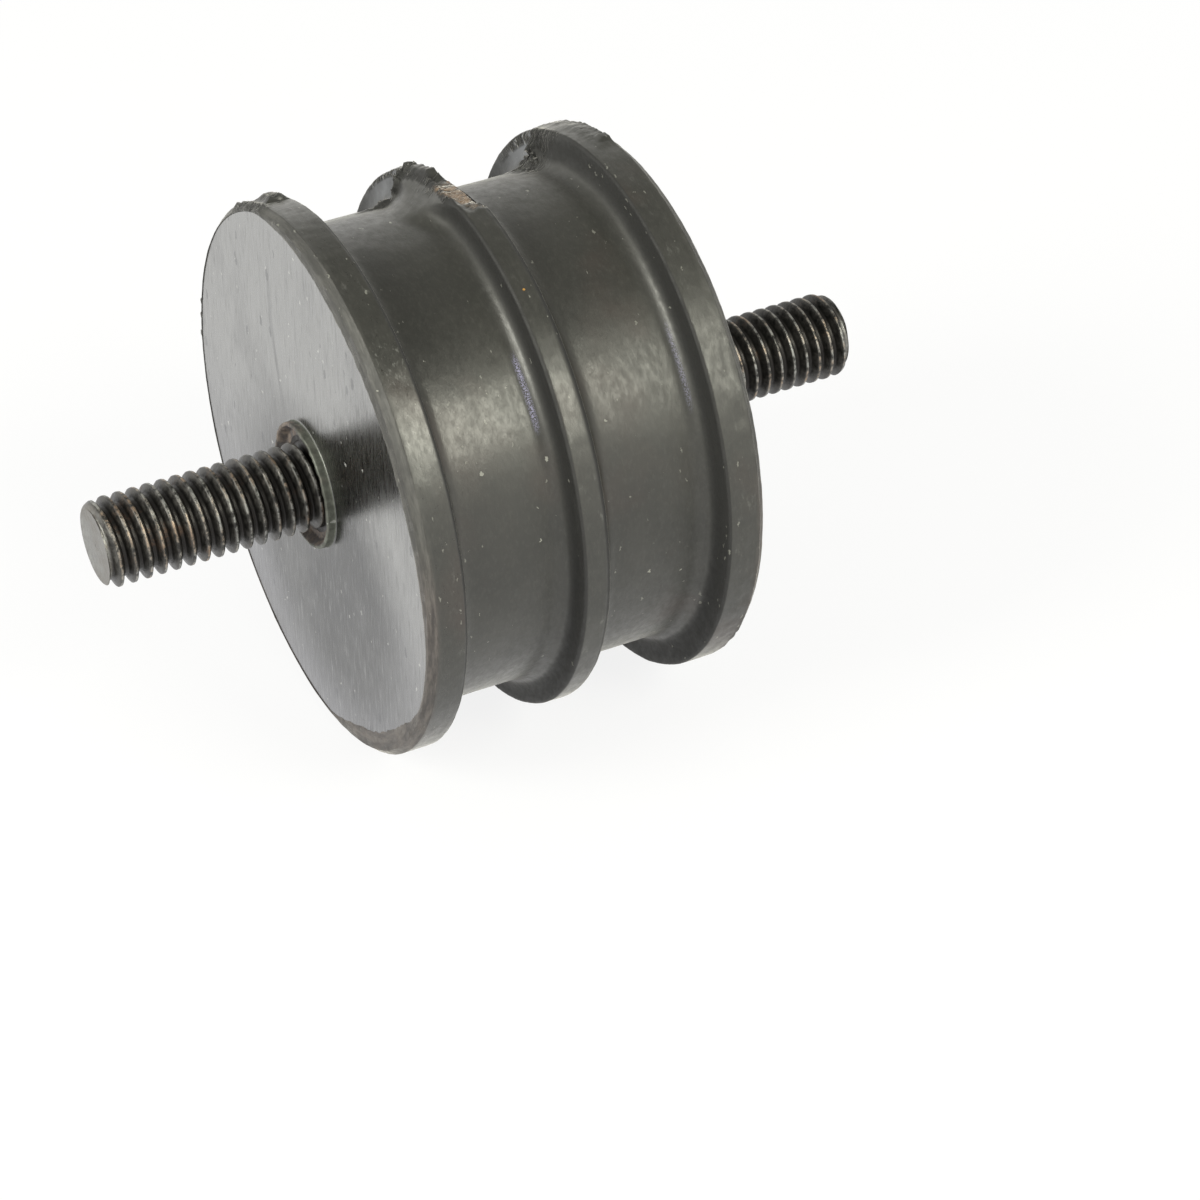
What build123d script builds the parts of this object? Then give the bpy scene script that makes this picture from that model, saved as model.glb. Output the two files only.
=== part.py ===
"""Bobbin vibration mount: a rubber body bonded between two stud plates.

The mount lies on its side. X is its axis: the front stud points to -X, the body runs to +X and
the rear stud ends it. The origin is on the axis, in the front plate's seating face. Z is up.
All lengths are in millimetres.
"""

import os
from math import cos, radians, sin

from build123d import *

# ---- body ----
BODY_LENGTH = 38.0  # from one seating face to the other
FLANGE_DIAMETER = 60.0  # the two end rims of the rubber
FLANGE_WIDTH = 4.2
FLANGE_EDGE_RADIUS = 0.5  # inner edge of each end rim
WAIST_DIAMETER = 52.2
WAIST_FILLET = 2.0  # foot of each rim and of the rib
RIB_DIAMETER = 59.0  # the middle rib
RIB_WIDTH = 3.2
RIB_EDGE_RADIUS = 0.5

# ---- end plates ----
PLATE_INSET = 1.4  # width of the rubber's rim round the plate
PLATE_THICKNESS = 3.0
RIM_SETBACK = 0.7  # how far the rubber slopes back round the plate's face
COLLAR_DIAMETER = 13.8  # raised lip round the stud
COLLAR_HEIGHT = 1.0
LIP_RIM_WIDTH = 0.4  # the lip's wall at its rim
LIP_FOOT_WIDTH = 0.9  # the lip's wall at the seating face, where its sloping inside ends

# ---- centre plate ----
CENTRE_PLATE_THICKNESS = 1.6
EDGE_COVER = 0.8  # rubber over the plate's rim

# ---- studs, 3/8 inch ----
STUD_DIAMETER = 9.525
FRONT_STUD_LENGTH = 24.0  # beyond the seating face
REAR_STUD_LENGTH = 25.4
TIP_CHAMFER = 0.8
NECK_DIAMETER = 10.6  # plain neck pressed into the end plate
HEAD_DIAMETER = 18.0  # disc head that holds the stud behind its plate
HEAD_THICKNESS = 3.2
HEAD_EDGE_RADIUS = 0.8

# ---- mould flash on the parting line, and the tear in the rib ----
FLASH_ANGLE = 27.0  # degrees from straight up towards +Y
FLASH_THICKNESS = 1.4
FLASH_ROOT = 0.8  # how deep each fin is rooted in its rim
FRONT_FLASH_HEIGHT = 0.8
RIB_FLASH_HEIGHT = 0.6
REAR_FLASH_HEIGHT = 0.5
TEAR_START_ANGLE = -4.0
TEAR_END_ANGLE = 13.0

CORNER_TOLERANCE = 1e-4
MAX_ROUNDING = 0.45  # largest share of a wall that one rounding takes
EDGE_SHARE = 0.35  # the same for a rim's edge, which shares its wall with a foot
FOOT_SHARE = 0.6  # and for the fillet at a rim's foot
CUT_MARGIN = 1.0  # how far a cut reaches out of the surface
FIN_FOOT_SHARE = 0.1  # share of a fin's height by which its ends stop under the surface

# ---- stations along X ----
MIDDLE_X = BODY_LENGTH / 2
RIB_FRONT_X = MIDDLE_X - RIB_WIDTH / 2
RIB_REAR_X = MIDDLE_X + RIB_WIDTH / 2
REAR_FLANGE_X = BODY_LENGTH - FLANGE_WIDTH

# ---- radii ----
FLANGE_RADIUS = FLANGE_DIAMETER / 2
WAIST_RADIUS = WAIST_DIAMETER / 2
RIB_RADIUS = RIB_DIAMETER / 2
PLATE_RADIUS = FLANGE_RADIUS - PLATE_INSET
CENTRE_PLATE_RADIUS = RIB_RADIUS - EDGE_COVER

MIDDLE_PLANE = Plane.YZ.offset(MIDDLE_X)


def disc(start_x, end_x, radius):
    """A cylinder on the mount's axis between two stations."""
    length = end_x - start_x
    upright = Cylinder(radius, length, align=(Align.CENTER, Align.CENTER, Align.MIN))
    return Pos(start_x, 0, 0) * Rot(0, 90, 0) * upright


def tapered(start_x, end_x, start_radius, end_radius):
    """A truncated cone on the mount's axis between two stations."""
    length = end_x - start_x
    aligned = (Align.CENTER, Align.CENTER, Align.MIN)
    upright = Cone(start_radius, end_radius, length, align=aligned)
    return Pos(start_x, 0, 0) * Rot(0, 90, 0) * upright


def rounded(face, corners, radius):
    """The face with the corners that lie at the given points rounded."""

    def is_picked(vertex):
        return any(
            abs(vertex.X - x) < CORNER_TOLERANCE and abs(vertex.Y - y) < CORNER_TOLERANCE
            for x, y in corners
        )

    return fillet([vertex for vertex in face.vertices() if is_picked(vertex)], radius)


def turned(points, roundings):
    """A solid turned about X from a half section, with some of its corners rounded first."""
    face = make_face(Polyline(*points, close=True))
    for corners, radius in roundings:
        face = rounded(face, corners, radius)
    return revolve(face, Axis.X)


def moulded_outside():
    """The rubber's outer form: two end rims and a middle rib on a narrower waist."""
    rim_edges = [(FLANGE_WIDTH, FLANGE_RADIUS), (REAR_FLANGE_X, FLANGE_RADIUS)]
    rib_edges = [(RIB_FRONT_X, RIB_RADIUS), (RIB_REAR_X, RIB_RADIUS)]
    feet = [
        (x, WAIST_RADIUS) for x in (FLANGE_WIDTH, RIB_FRONT_X, RIB_REAR_X, REAR_FLANGE_X)
    ]
    outline = [
        (0, 0),
        (0, PLATE_RADIUS),
        (RIM_SETBACK, FLANGE_RADIUS),
        rim_edges[0],
        feet[0],
        feet[1],
        rib_edges[0],
        rib_edges[1],
        feet[2],
        feet[3],
        rim_edges[1],
        (BODY_LENGTH - RIM_SETBACK, FLANGE_RADIUS),
        (BODY_LENGTH, PLATE_RADIUS),
        (BODY_LENGTH, 0),
    ]
    rim_wall = min(FLANGE_WIDTH - RIM_SETBACK, FLANGE_RADIUS - WAIST_RADIUS)
    rib_wall = min(RIB_WIDTH, RIB_RADIUS - WAIST_RADIUS)
    step = min(RIB_RADIUS, FLANGE_RADIUS) - WAIST_RADIUS
    return turned(
        outline,
        [
            (rim_edges, min(FLANGE_EDGE_RADIUS, EDGE_SHARE * rim_wall)),
            (rib_edges, min(RIB_EDGE_RADIUS, EDGE_SHARE * rib_wall)),
            (feet, min(WAIST_FILLET, FOOT_SHARE * step)),
        ],
    )


def flash_fin(start_x, width, surface_radius, height):
    """A ragged fin of flash across one rim, standing up from the rim's surface."""
    root = surface_radius - FLASH_ROOT
    foot = surface_radius - FIN_FOOT_SHARE * height
    ragged_top = [(0.10, 0.35), (0.30, 0.55), (0.52, 0.85), (0.70, 1.00), (0.90, 0.55)]
    outline = [(start_x, root), (start_x, foot)]
    outline += [(start_x + a * width, surface_radius + b * height) for a, b in ragged_top]
    outline += [(start_x + width, foot), (start_x + width, root)]
    face = Plane.XZ * make_face(Polyline(*outline, close=True))
    fin = extrude(face, FLASH_THICKNESS / 2, both=True)
    return Rot(-FLASH_ANGLE, 0, 0) * fin


def flash_fins():
    """One fin on each rim and one on the rib, in line along the parting line."""
    rim_width = FLANGE_WIDTH - RIM_SETBACK - FLANGE_EDGE_RADIUS
    front_x = RIM_SETBACK
    rear_x = REAR_FLANGE_X + FLANGE_EDGE_RADIUS
    rib_width = RIB_WIDTH - 2 * RIB_EDGE_RADIUS
    return [
        flash_fin(front_x, rim_width, FLANGE_RADIUS, FRONT_FLASH_HEIGHT),
        flash_fin(RIB_FRONT_X + RIB_EDGE_RADIUS, rib_width, RIB_RADIUS, RIB_FLASH_HEIGHT),
        flash_fin(rear_x, rim_width, FLANGE_RADIUS, REAR_FLASH_HEIGHT),
    ]


def rib_tear():
    """What a tear took off the rib: a stretch of its rear half, down to the centre plate's edge."""
    reach = RIB_RADIUS + CUT_MARGIN
    inner = CENTRE_PLATE_RADIUS
    half_angle = radians(TEAR_END_ANGLE - TEAR_START_ANGLE) / 2
    side = reach / cos(half_angle)
    angles = [radians(TEAR_START_ANGLE), radians(TEAR_END_ANGLE)]
    corner = [(side * sin(a), side * cos(a)) for a in angles]
    wedge_face = make_face(Polyline((0, 0), corner[0], corner[1], close=True))
    start_x = MIDDLE_X - CENTRE_PLATE_THICKNESS / 2
    length = RIB_REAR_X - start_x + CORNER_TOLERANCE
    wedge = Pos(start_x, 0, 0) * extrude(Plane.YZ * wedge_face, length)
    ring = disc(start_x, start_x + length, reach) - disc(start_x, start_x + length, inner)
    return wedge & ring


def end_plate():
    """The front end plate: a disc with a raised lip and a sloping groove round its stud hole."""
    blank = disc(0, PLATE_THICKNESS, PLATE_RADIUS)
    lip_radius = COLLAR_DIAMETER / 2
    collar = disc(-COLLAR_HEIGHT, PLATE_THICKNESS, lip_radius)
    groove = tapered(-COLLAR_HEIGHT, 0, lip_radius - LIP_RIM_WIDTH, lip_radius - LIP_FOOT_WIDTH)
    neck_hole = disc(0, PLATE_THICKNESS, NECK_DIAMETER / 2)
    return blank + collar - groove - neck_hole


def end_stud(length):
    """A stud for the front plate: chamfered shank, neck in the plate and disc head behind it."""
    radius = STUD_DIAMETER / 2
    neck_radius = NECK_DIAMETER / 2
    head_radius = HEAD_DIAMETER / 2
    chamfer_size = min(TIP_CHAMFER, MAX_ROUNDING * radius)
    head_rear_x = PLATE_THICKNESS + HEAD_THICKNESS
    outline = [
        (-length, 0),
        (-length, radius - chamfer_size),
        (chamfer_size - length, radius),
        (0, radius),
        (0, neck_radius),
        (PLATE_THICKNESS, neck_radius),
        (PLATE_THICKNESS, head_radius),
        (head_rear_x, head_radius),
        (head_rear_x, 0),
    ]
    head_edge = [(head_rear_x, head_radius)]
    return turned(outline, [(head_edge, min(HEAD_EDGE_RADIUS, MAX_ROUNDING * HEAD_THICKNESS))])


def centre_plate():
    """The plain disc inside the rib, halfway along the body."""
    half = CENTRE_PLATE_THICKNESS / 2
    return disc(MIDDLE_X - half, MIDDLE_X + half, CENTRE_PLATE_RADIUS)


def rubber_body(metal):
    """The rubber moulding: everything between and round the metal pieces."""
    rubber = moulded_outside()
    for fin in flash_fins():
        rubber += fin
    rubber -= rib_tear()
    for piece in metal:
        rubber -= piece
    return rubber


def rear(piece):
    """The same piece at the rear end."""
    return mirror(piece, MIDDLE_PLANE)


def main():
    metal = {
        "front_plate": end_plate(),
        "rear_plate": rear(end_plate()),
        "centre_plate": centre_plate(),
        "front_stud": end_stud(FRONT_STUD_LENGTH),
        "rear_stud": rear(end_stud(REAR_STUD_LENGTH)),
    }
    pieces = {"rubber_body": rubber_body(metal.values()), **metal}
    os.makedirs("parts", exist_ok=True)
    for name, piece in pieces.items():
        export_step(piece, f"parts/{name}.step")


main()
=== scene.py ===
"""Looks of the bobbin vibration mount: moulded rubber, satin end plates and threaded studs.

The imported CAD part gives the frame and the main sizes. X is the mount's axis and Z is up.
Shapes are worked out in millimetres and turned into metres when a mesh is made.
Angles round the axis are in degrees from straight up (+Z) towards +Y.
"""

import math

import bpy
import numpy as np
from mathutils import Matrix, Vector, noise


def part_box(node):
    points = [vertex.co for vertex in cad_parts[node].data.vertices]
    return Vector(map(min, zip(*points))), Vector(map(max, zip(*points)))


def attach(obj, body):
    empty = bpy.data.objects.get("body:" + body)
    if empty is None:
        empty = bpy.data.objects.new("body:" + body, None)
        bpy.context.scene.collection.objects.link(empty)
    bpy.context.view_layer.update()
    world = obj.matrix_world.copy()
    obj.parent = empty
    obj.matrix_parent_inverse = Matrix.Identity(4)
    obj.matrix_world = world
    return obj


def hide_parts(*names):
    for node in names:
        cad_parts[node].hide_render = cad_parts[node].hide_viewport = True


MM = 0.001
FULL_TURN = 360.0  # degrees

# ---- camera: place in metres, angles in degrees, lens and sensor in millimetres ----
CAMERA_PLACE = (-0.11207, -0.28244, 0.21366)
CAMERA_AZIMUTH = -27.404
CAMERA_ELEVATION = 37.144
CAMERA_LENS = 105.645
CAMERA_SENSOR = 36.0
CAMERA_NEAR = 0.01
CAMERA_FAR = 20.0

# ---- rubber, beyond what the frame's boxes give ----
FLANGE_WIDTH = 4.2
FRONT_RIM_EDGE_RADIUS = 0.6
REAR_RIM_EDGE_RADIUS = 0.4
WAIST_RADIUS = 26.1
FRONT_FOOT_RADIUS = 2.1  # feet that face the front stud
REAR_FOOT_RADIUS = 2.3
RIB_WIDTH = 3.2
RIB_RADIUS = 29.5
RIB_FRONT_EDGE_RADIUS = 0.45
RIB_REAR_EDGE_RADIUS = 0.9
RIM_SETBACK = 0.7
RIM_EDGE_RADIUS = 0.25
RUBBER_STEP = 0.42  # longest stretch of the rubber's half section between two rings

# ---- plates with their lip, studs ----
PLATE_THICKNESS = 3.0
FACE_RADIUS = 29.3  # the plate's face, up to the foot of the rim
POCKET_GAP = 0.1  # between the plate's stepped edge and the rubber over it
LIP_RADIUS = 6.9
LIP_HEIGHT = 1.0
LIP_RIM_WIDTH = 0.4
LIP_FOOT_WIDTH = 0.9
PLATE_COLUMNS = 256
NECK_RADIUS = 5.3
HEAD_RADIUS = 9.0
HEAD_THICKNESS = 3.2
HEAD_EDGE_RADIUS = 0.8
INNER_RING_RADIUS = 0.5  # innermost ring of a flat end, next to its point on the axis
STUD_RADIUS = 4.7625
THREAD_PITCH = 25.4 / 16
THREAD_DEPTH = 0.95
THREAD_RUN_IN = 0.5  # over which the thread begins at the plate
CREST_HALF_WIDTH = 0.085  # in turns, as the flank
FLANK_WIDTH = 0.29
CREST_WEAR = 0.03
THREAD_ROUGHNESS = 0.018
CREST_ANGLE = 32.0  # where a crest passes the two stations below
FRONT_CREST_X = -21.84
REAR_CREST_X = 52.38
TIP_RADIUS = 4.12
TIP_CHAMFER_HEIGHT = 0.9
TIP_CHAMFER_LENGTH = 1.9
TIP_CHAMFER_POWER = 0.6  # below 1, so that the chamfer is round
TIP_DISH = ((0.05, 0.06), (0.5, 0.06), (0.86, 0.04), (0.95, 0.01))  # share of the radius, depth
STUD_COLUMNS = 112
RINGS_PER_PITCH = 18

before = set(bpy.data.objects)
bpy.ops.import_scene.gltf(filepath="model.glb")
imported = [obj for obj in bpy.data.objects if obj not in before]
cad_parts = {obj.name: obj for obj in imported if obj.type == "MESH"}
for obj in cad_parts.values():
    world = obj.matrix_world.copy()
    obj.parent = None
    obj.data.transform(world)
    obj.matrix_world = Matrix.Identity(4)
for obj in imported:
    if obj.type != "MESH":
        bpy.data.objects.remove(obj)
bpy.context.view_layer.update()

rubber_low, rubber_high = (np.array(corner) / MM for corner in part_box("rubber_body"))
BODY_LENGTH = rubber_high[0] - rubber_low[0]
FLANGE_RADIUS = (rubber_high[2] - rubber_low[2]) / 2
PLATE_RADIUS = (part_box("front_plate")[1][2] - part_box("front_plate")[0][2]) / MM / 2
CENTRE_PLATE_RADIUS = (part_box("centre_plate")[1][2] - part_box("centre_plate")[0][2]) / MM / 2
FRONT_TIP_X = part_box("front_stud")[0][0] / MM
REAR_TIP_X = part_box("rear_stud")[1][0] / MM

MIDDLE_X = BODY_LENGTH / 2
RIB_FRONT_X = MIDDLE_X - RIB_WIDTH / 2
RIB_REAR_X = MIDDLE_X + RIB_WIDTH / 2
REAR_FLANGE_X = BODY_LENGTH - FLANGE_WIDTH


# Lumps of the surfaces: size in millimetres, seed and octaves.
COARSE_LUMPS = (5.0, 1, 3)
MIDDLING_LUMPS = (1.3, 2, 4)
FINE_LUMPS = (0.45, 3, 4)
PLATE_WAVES = (9.0, 5, 2)
PLATE_GRIT = (1.1, 6, 4)
STUD_LUMPS = (0.7, 8, 3)


# ---- shape helpers ----


def ease(value, low, high):
    """0 below low, 1 above high, smooth between them."""
    t = np.clip((np.asarray(value, float) - low) / (high - low), 0, 1)
    return t * t * (3 - 2 * t)


def bump_between(value, low, high, edge):
    """1 between low and high, falling smoothly to 0 over edge outside them."""
    return ease(value, low - edge, low) * (1 - ease(value, high, high + edge))


def rough_field(points, size, seed, octaves):
    """Fractal noise at each point, about -1 to 1, for lumps of a given size in millimetres."""
    shift = Vector((seed * 17.3, seed * 5.1, -seed * 9.7))
    flat = points.reshape(-1, 3) / size
    values = [noise.fractal(Vector(p) + shift, 0.9, 2.1, octaves) for p in flat]
    return np.array(values).reshape(points.shape[:-1])


def rounded_line(corners, arc_steps=8):
    """Points of a line in (x, r) whose corners (x, r, radius) are rounded."""
    points = []
    for i, (x, r, radius) in enumerate(corners):
        corner = np.array([x, r])
        if radius == 0 or i in (0, len(corners) - 1):
            points.append(corner)
            continue
        back = np.array(corners[i - 1][:2]) - corner
        ahead = np.array(corners[i + 1][:2]) - corner
        back /= np.linalg.norm(back)
        ahead /= np.linalg.norm(ahead)
        half = math.acos(float(np.clip(back @ ahead, -1, 1))) / 2
        middle = (back + ahead) / np.linalg.norm(back + ahead)
        centre = corner + middle * radius / math.sin(half)
        start = corner + back * radius / math.tan(half) - centre
        end = corner + ahead * radius / math.tan(half) - centre
        turn = math.pi - 2 * half
        for k in range(arc_steps + 1):
            t = k / arc_steps
            mix = math.sin((1 - t) * turn) * start + math.sin(t * turn) * end
            points.append(centre + mix / math.sin(turn))
    return np.array(points)


def finely(points, step):
    """The same line with extra points, so that no stretch is longer than step."""
    fine = [points[0]]
    for a, b in zip(points[:-1], points[1:]):
        count = max(1, math.ceil(np.linalg.norm(b - a) / step))
        fine += [a + (b - a) * k / count for k in range(1, count + 1)]
    return np.array(fine)


def turned(line, degrees):
    """Stations, radii and angles of an (x, r) line turned round the axis, as grids."""
    x, angle = np.meshgrid(line[:, 0], degrees, indexing="ij")
    return x, np.repeat(line[:, 1:], len(degrees), axis=1), angle


def round_the_axis(x, r, degrees):
    """Points in space from stations, radii and angles."""
    angle = np.radians(degrees)
    return np.stack([x, r * np.sin(angle), r * np.cos(angle)], axis=-1)


def either_side(degrees):
    """The same angles between -180 and 180."""
    return (degrees + FULL_TURN / 2) % FULL_TURN - FULL_TURN / 2


def outward_grid(points):
    """Unit normals of a grid whose rows run along the mount and whose columns run round it."""
    along = np.gradient(points, axis=0)
    around = np.roll(points, -1, axis=1) - np.roll(points, 1, axis=1)
    normals = np.cross(along, around)
    return normals / np.maximum(np.linalg.norm(normals, axis=-1), 1e-9)[..., None]


# ---- mesh helpers ----


def add_piece(name, vertices, faces, material, sharp_degrees, attributes):
    """A smooth piece from vertices in millimetres, with numbers at them for its material."""
    mesh = bpy.data.meshes.new(name)
    mesh.from_pydata((vertices * MM).tolist(), [], faces)
    mesh.shade_smooth()
    mesh.set_sharp_from_angle(angle=math.radians(sharp_degrees))
    for key, values in attributes.items():
        layer = mesh.attributes.new(key, "FLOAT", "POINT")
        padded = np.append(values.ravel(), np.zeros(len(vertices) - values.size))
        layer.data.foreach_set("value", padded.astype(np.float32))
    mesh.validate()
    mesh.materials.append(material)
    piece = bpy.data.objects.new(name, mesh)
    bpy.context.scene.collection.objects.link(piece)
    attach(piece, "root")
    return piece


def capped_mesh(rings):
    """Vertices and faces of rings of points (ring, angle, 3), closed by two points on the axis."""
    rows, columns, _ = rings.shape
    ends = [(rings[row, :, 0].mean(), 0.0, 0.0) for row in (0, -1)]
    vertices = np.concatenate([rings.reshape(-1, 3), np.array(ends)])
    row = np.arange(rows - 1)[:, None] * columns
    here = np.arange(columns)[None, :]
    there = (here + 1) % columns
    next_row = row + columns
    quads = np.stack([row + here, next_row + here, next_row + there, row + there], axis=-1)
    first_end, last_end = rows * columns, rows * columns + 1
    last = (rows - 1) * columns
    faces = quads.reshape(-1, 4).tolist()
    faces += [(first_end, c, (c + 1) % columns) for c in range(columns)]
    faces += [(last_end, last + (c + 1) % columns, last + c) for c in range(columns)]
    return vertices, faces


def ring_mesh(rings, flip):
    """Vertices and faces of a ring-shaped solid, whose last ring of points joins its first."""
    rows, columns, _ = rings.shape
    row = np.arange(rows)[:, None] * columns
    next_row = ((np.arange(rows) + 1) % rows)[:, None] * columns
    here = np.arange(columns)[None, :]
    there = (here + 1) % columns
    quads = np.stack([row + here, row + there, next_row + there, next_row + here], axis=-1)
    quads = quads.reshape(-1, 4)
    if flip:
        quads = quads[:, ::-1]
    return rings.reshape(-1, 3), quads.tolist()


# ---- material helpers ----


class Nodes:
    """Builds the nodes of a material or a world."""

    def __init__(self, owner):
        owner.use_nodes = True
        self.tree = owner.node_tree
        coordinates = self.add("TexCoord").outputs
        self.place = coordinates["Object"]
        self.direction = coordinates["Generated"]  # in a world

    def add(self, kind, inputs=None, **settings):
        """A node with its settings and inputs, each a value or the socket of another node."""
        node = self.tree.nodes.new("ShaderNode" + kind)
        for key, value in settings.items():
            setattr(node, key, value)
        for key, value in (inputs or {}).items():
            self.put(node.inputs[key], value)
        return node

    def put(self, socket, value):
        """Links a socket to another one or gives it a value."""
        if isinstance(value, bpy.types.NodeSocket):
            self.tree.links.new(value, socket)
        else:
            socket.default_value = value

    def math(self, operation, a, b=0.0, clamp=False):
        return self.add("Math", {0: a, 1: b}, operation=operation, use_clamp=clamp).outputs[0]

    def times(self, a, b):
        return self.math("MULTIPLY", a, b)

    def larger(self, a, b):
        return self.math("MAXIMUM", a, b)

    def split(self, vector):
        return self.add("SeparateXYZ", {0: vector}).outputs

    def root_of_squares(self, a, b):
        return self.math("SQRT", self.math("ADD", self.times(a, a), self.times(b, b)))

    def span(self, value, low, high, out_low=0.0, out_high=1.0, interpolation="SMOOTHSTEP"):
        """out_low below low, out_high above high, smooth between them."""
        inputs = {0: value, 1: low, 2: high, 3: out_low, 4: out_high}
        return self.add("MapRange", inputs, interpolation_type=interpolation).outputs[0]

    def scaled(self, scale, where):
        return self.add("Mapping", {"Vector": where, "Scale": scale}).outputs[0]

    def unrolled(self):
        """A vector of the station along the axis, the way round it at the waist, and the radius."""
        x, y, z = self.split(self.place)
        way = self.times(self.math("ARCTAN2", y, z), WAIST_RADIUS * MM)
        return self.add("CombineXYZ", {0: x, 1: way, 2: self.root_of_squares(y, z)}).outputs[0]

    def shaken(self, where, scale, amount):
        """The vector moved about a little, so that round dots become irregular."""
        jitter = self.add("TexNoise", {"Vector": where, "Scale": scale, "Detail": 3.0}).outputs[1]
        centred = self.add("VectorMath", {0: jitter, 1: (0.5, 0.5, 0.5)}, operation="SUBTRACT")
        step = self.add("VectorMath", {0: centred.outputs[0], "Scale": amount}, operation="SCALE")
        return self.add("VectorMath", {0: where, 1: step.outputs[0]}, operation="ADD").outputs[0]

    def noise(self, scale, detail=4.0, roughness=0.55, where=None):
        """Noise with lumps of one metre over scale. Its values lie round 0.5."""
        where = self.place if where is None else where
        inputs = {"Vector": where, "Scale": scale, "Detail": detail, "Roughness": roughness}
        return self.add("TexNoise", inputs).outputs[0]

    def grain(self, scales, detail, roughness, where):
        """Noise whose lumps have their own scale along each axis."""
        return self.noise(1.0, detail, roughness, self.scaled(scales, where))

    def specks(self, radius, share, scales, where):
        """Dots in a share of the cells of a grid, each up to a radius given in cells."""
        cells = self.add("TexVoronoi", {"Vector": self.scaled(scales, where), "Scale": 1.0})
        chance, other, _ = self.add("SeparateColor", {0: cells.outputs["Color"]}).outputs
        size = self.times(self.span(other, 0.0, 1.0, 0.25, 1.0), radius)
        inside = self.math("LESS_THAN", cells.outputs["Distance"], size)
        return self.times(inside, self.math("LESS_THAN", chance, share))

    def near(self, x, radius, degrees, size):
        """1 within a size of the place at a station, radius and angle, in millimetres, else 0."""
        turn = math.radians(degrees)
        centre = (x * MM, radius * math.sin(turn) * MM, radius * math.cos(turn) * MM)
        apart = self.add("VectorMath", {0: self.place, 1: centre}, operation="DISTANCE")
        return self.span(apart.outputs["Value"], 0.6 * size * MM, size * MM, 1.0, 0.0)

    def mix(self, share, a, b):
        """Colour a where share is 0, b where it is 1."""
        return self.add("Mix", {0: share, 6: a, 7: b}, data_type="RGBA").outputs[2]

    def attribute(self, name):
        return self.add("Attribute", attribute_name=name).outputs["Fac"]

    def bump(self, height, strength, distance, normal=None):
        """A bump of a distance in millimetres, over an earlier one if its normal is given."""
        inputs = {"Height": height, "Strength": strength, "Distance": distance * MM}
        if normal is not None:
            inputs["Normal"] = normal
        return self.add("Bump", inputs).outputs[0]


class Surface(Nodes):
    """Builds the nodes of a material round its Principled shader."""

    def __init__(self, name):
        self.material = bpy.data.materials.new(name)
        super().__init__(self.material)
        self.shader = self.tree.nodes["Principled BSDF"]

    def set(self, **inputs):
        for key, value in inputs.items():
            self.put(self.shader.inputs[key.replace("_", " ")], value)


# ---- materials ----

# Colours are linear. Where there are two, a noise mixes them from the first to the second.
FILM_COLORS = (0.019, 0.019, 0.0155, 1), (0.027, 0.0265, 0.022, 1)
BROWNISH_COLOR = (0.034, 0.026, 0.021, 1)
GREYISH_COLOR = (0.052, 0.051, 0.044, 1)
SCUFF_COLOR = (0.11, 0.11, 0.10, 1)
NICK_COLOR = (0.10, 0.10, 0.09, 1)
# painted shade on the walls that face along the mount and on the lands' edges
PAINTED_SHADE_COLOR = (0.005, 0.005, 0.0045, 1)
# painted reflection: a pale wall beside the fins, as if it caught the light
WALL_REFLECTION_COLOR = (0.16, 0.165, 0.178, 1)
BAND_COLORS = (0.022, 0.022, 0.019, 1), (0.062, 0.061, 0.054, 1)
BROWN_COLORS = (0.027, 0.022, 0.020, 1), (0.090, 0.077, 0.069, 1)
TORN_COLORS = (0.006, 0.006, 0.006, 1), (0.03, 0.03, 0.028, 1)
STAIN_COLORS = (0.09, 0.064, 0.045, 1), (0.24, 0.160, 0.100, 1)
DUST_COLOR = (0.36, 0.36, 0.31, 1)
GLINT_COLOR = (0.33, 0.32, 0.46, 1)
YELLOW_COLOR = (0.36, 0.19, 0.04, 1)

# Scales of the rubber's grains, per metre: along the axis, round it and outwards.
FINE_SCALES = (2600.0, 1300.0, 2000.0)
SCUFF_SCALES = (900.0, 420.0, 900.0)
NICK_SCALES = (3000.0, 1700.0, 3000.0)
STREAK_SCALES = (1800.0, 260.0, 1300.0)
DASH_SCALES = (1900.0, 700.0, 1500.0)
DOT_SCALES = (560.0, 360.0, 500.0)
GLOSS_SCALES = (1500.0, 800.0, 1200.0)
PEEL_SCALES = (330.0, 170.0, 330.0)

# The yellow speck on the rib: its station, radius, angle and size.
YELLOW_SPECK = (18.74, 29.5, -27.5, 0.17)

RUBBER_GLOSS = (0.30, 0.44)  # roughness, from the smoothest grain to the roughest
DULLER = (-0.02, 0.08)  # and what is added to it, from the front rim to the rear one


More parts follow.
